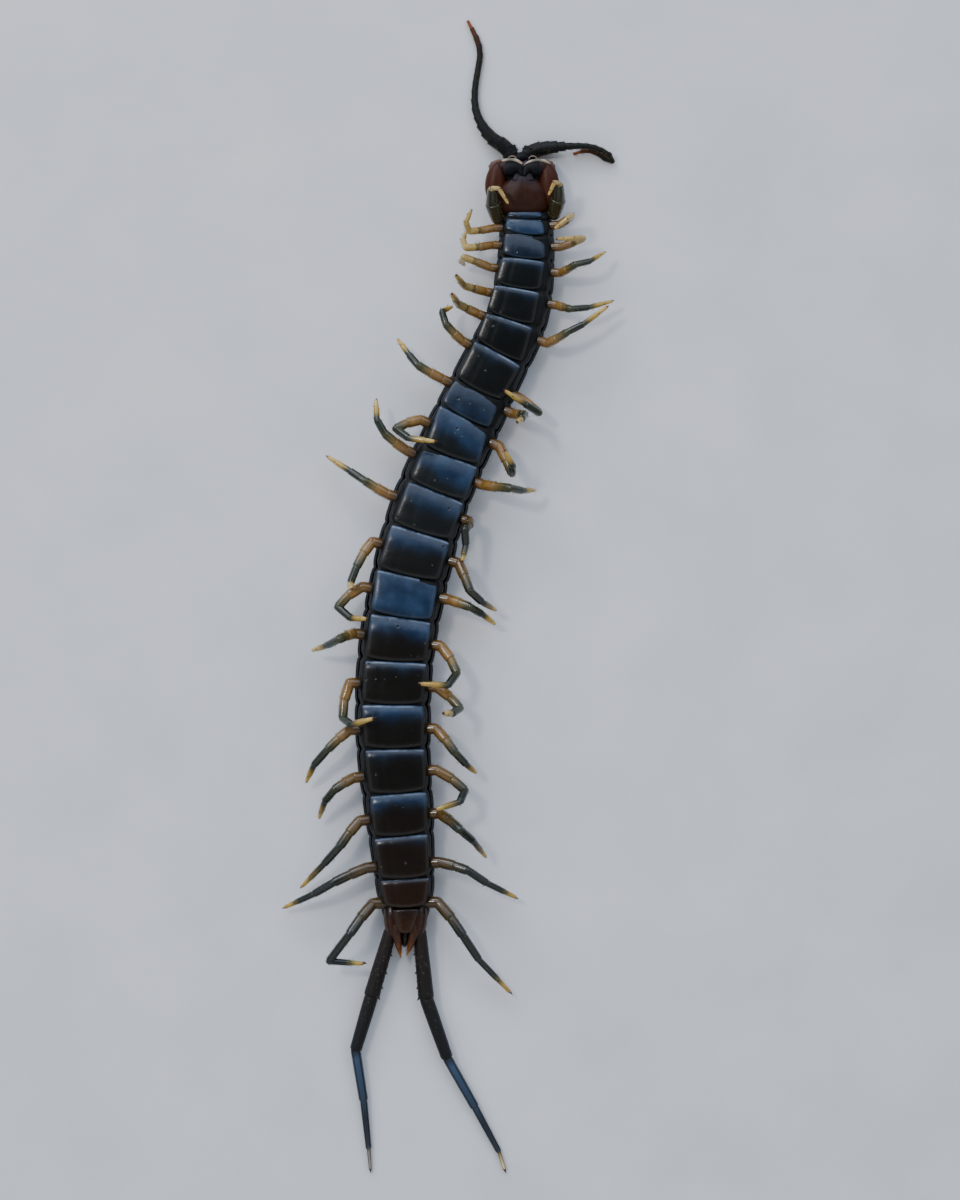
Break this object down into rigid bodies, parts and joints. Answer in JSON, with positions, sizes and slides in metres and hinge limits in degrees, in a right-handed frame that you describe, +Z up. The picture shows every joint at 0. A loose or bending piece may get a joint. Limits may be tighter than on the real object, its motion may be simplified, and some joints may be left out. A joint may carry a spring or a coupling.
{
  "type": "florida blue centipede",
  "caption": "Centipede on its back in a gentle curve: flat plated trunk, short jointed legs, two feelers, a head shield with venom claws and two long trailing rear legs.",
  "frame": {"origin": "bottom centre of the bounding box, on the floor that the back rests on", "axes": "+Y towards the head along the body, +X towards the animal's own left side, +Z up out of the belly"},
  "size_m": [0.0252, 0.087, 0.0062],
  "materials": {
    "shell": "glossy blue-black cuticle",
    "tail": "glossy red-brown cuticle",
    "head": "glossy dark red-brown cuticle",
    "venom_claw": "glossy red-brown cuticle, black fang",
    "mouthparts": "pale satin cuticle",
    "antenna": "dark green-black satin cuticle",
    "eye": "black, glossy",
    "leg": "glossy amber to olive cuticle with yellow tips",
    "last_leg": "glossy blue-black cuticle"
  },
  "bodies": {
    "root": {"trunk_front": "shell", "trunk_second": "shell", "trunk_middle": "shell", "trunk_fourth": "shell", "trunk_rear": "shell", "terminal_segment": "tail", "head": "head", "forcipular_shield": "head", "maxillae": "mouthparts", "forcipule_left": "venom_claw", "antenna_left": "antenna", "eyes_left": "eye", "leg_left_01": "leg", "leg_left_02": "leg", "leg_left_03": "leg", "leg_left_04": "leg", "leg_left_05": "leg", "leg_left_06": "leg", "leg_left_07": "leg", "leg_left_08": "leg", "leg_left_09": "leg", "leg_left_10": "leg", "leg_left_11": "leg", "leg_left_12": "leg", "leg_left_13": "leg", "leg_left_14": "leg", "leg_left_15": "leg", "leg_left_16": "leg", "leg_left_17": "leg", "leg_left_18": "leg", "leg_left_19": "leg", "leg_left_20": "leg", "leg_left_21": "last_leg", "forcipule_right": "venom_claw", "antenna_right": "antenna", "eyes_right": "eye", "leg_right_01": "leg", "leg_right_02": "leg", "leg_right_03": "leg", "leg_right_04": "leg", "leg_right_05": "leg", "leg_right_06": "leg", "leg_right_07": "leg", "leg_right_08": "leg", "leg_right_09": "leg", "leg_right_10": "leg", "leg_right_11": "leg", "leg_right_12": "leg", "leg_right_13": "leg", "leg_right_14": "leg", "leg_right_15": "leg", "leg_right_16": "leg", "leg_right_17": "leg", "leg_right_18": "leg", "leg_right_19": "leg", "leg_right_20": "leg", "leg_right_21": "last_leg"}
  },
  "joints": []
}
